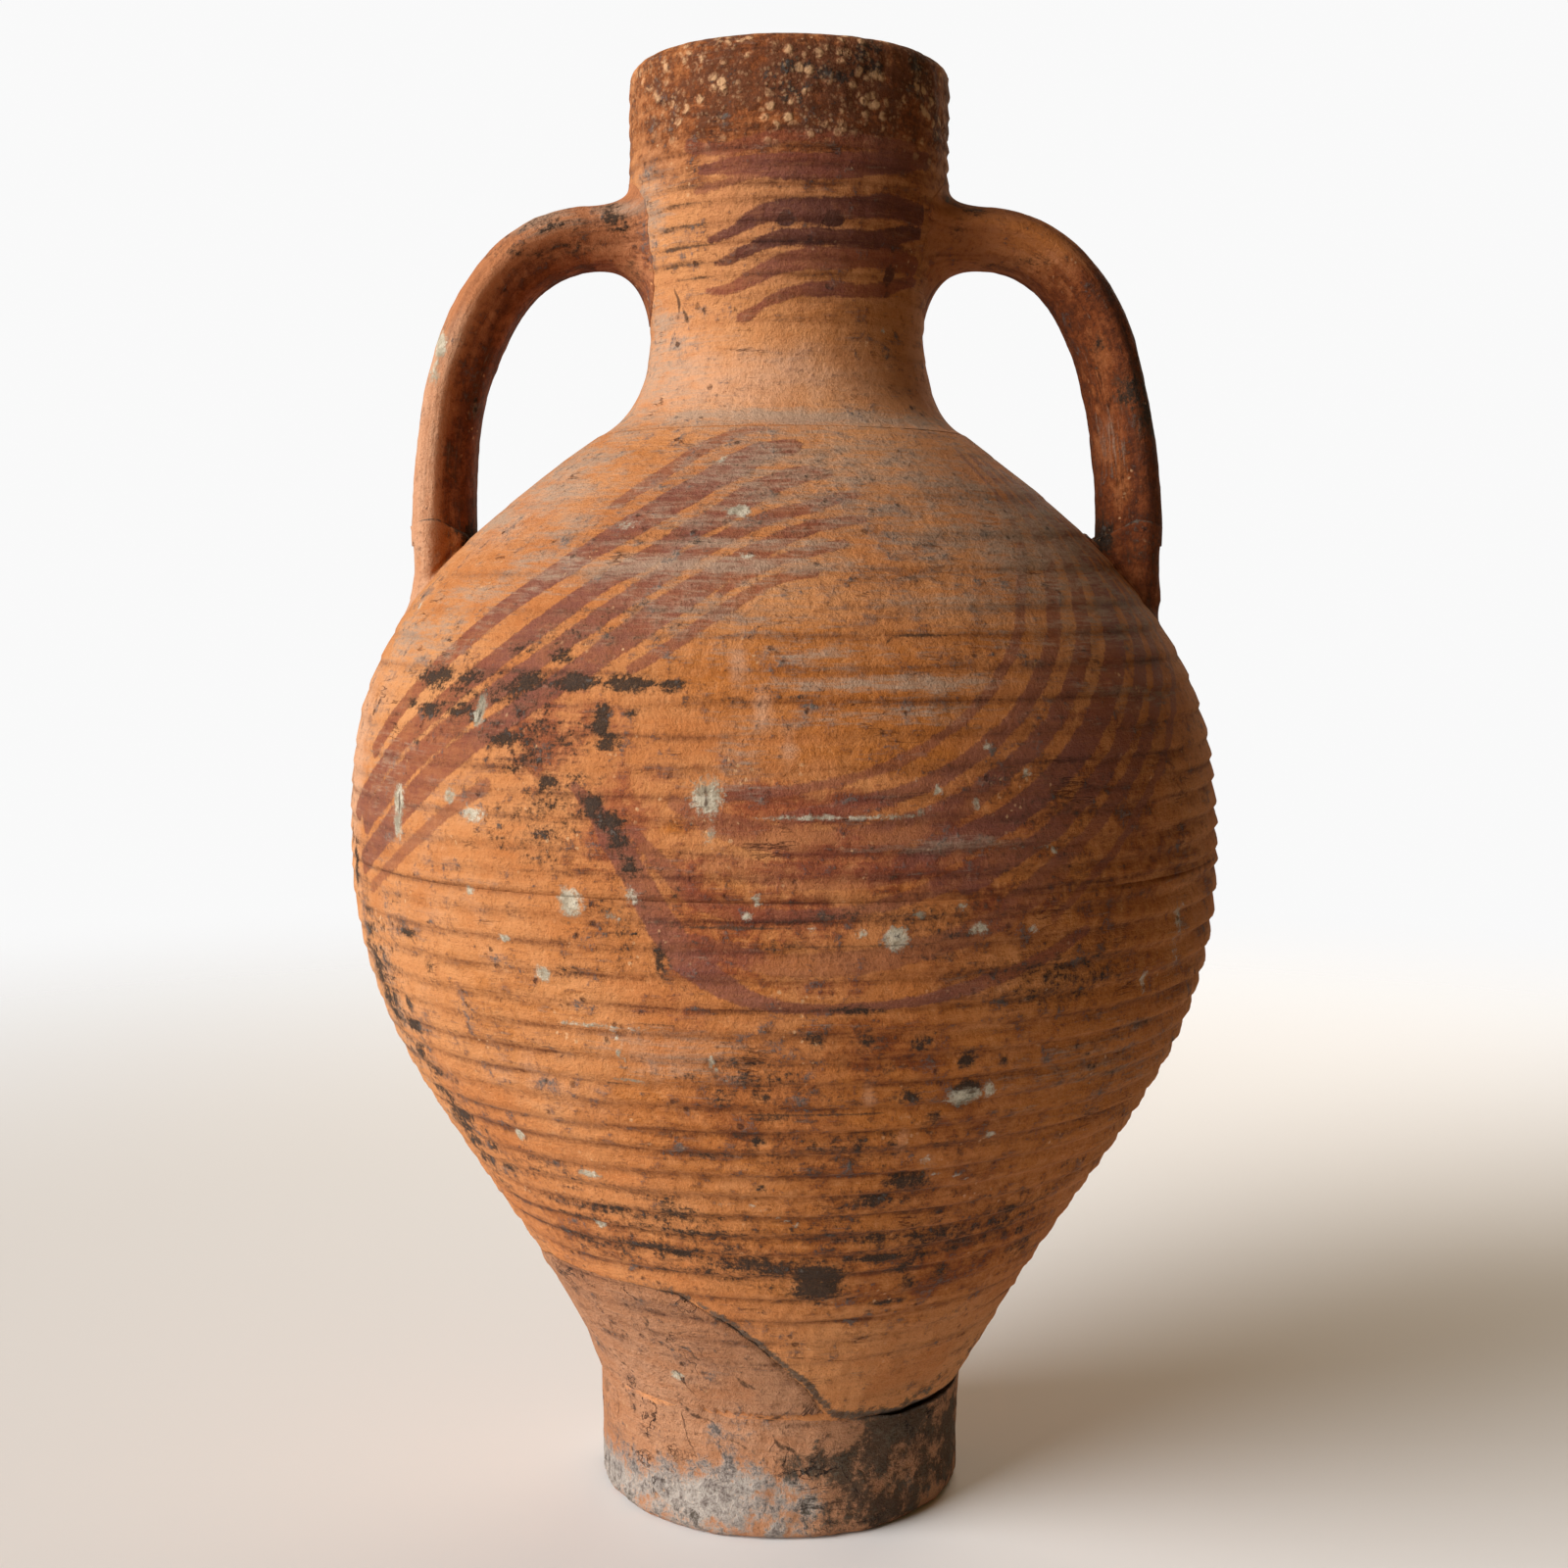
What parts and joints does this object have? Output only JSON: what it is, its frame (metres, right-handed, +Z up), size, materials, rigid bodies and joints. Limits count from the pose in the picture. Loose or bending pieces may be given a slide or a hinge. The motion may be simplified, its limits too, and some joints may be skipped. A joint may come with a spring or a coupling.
{
  "type": "two-handled storage jar",
  "caption": "Tall earthenware jar with a narrow collared neck, rounded shoulder, tapering bowl, ring foot and strap handles.",
  "frame": {"origin": "centre of the underside of the foot ring, on the jar's axis", "axes": "+Z up along the jar's axis, X through the two handles, Y from front to back"},
  "size_m": [0.316, 0.316, 0.52],
  "materials": {
    "foot_clay": "rough unglazed earthenware with grey lime mortar round its lower edge",
    "body_clay": "unglazed earthenware, finger-painted in dark red slip, with throwing lines, soot stains and lime bloom",
    "neck_clay": "unglazed earthenware with dark red slip strokes and a dark crust at the collar",
    "handle_clay": "unglazed earthenware, wiped lengthwise, with worn edges"
  },
  "bodies": {
    "root": {"foot": "foot_clay", "lower_body": "body_clay", "upper_body": "body_clay", "neck": "neck_clay", "handle_left": "handle_clay", "handle_right": "handle_clay", "handle_pad_left": "handle_clay", "handle_pad_right": "handle_clay"}
  },
  "joints": []
}
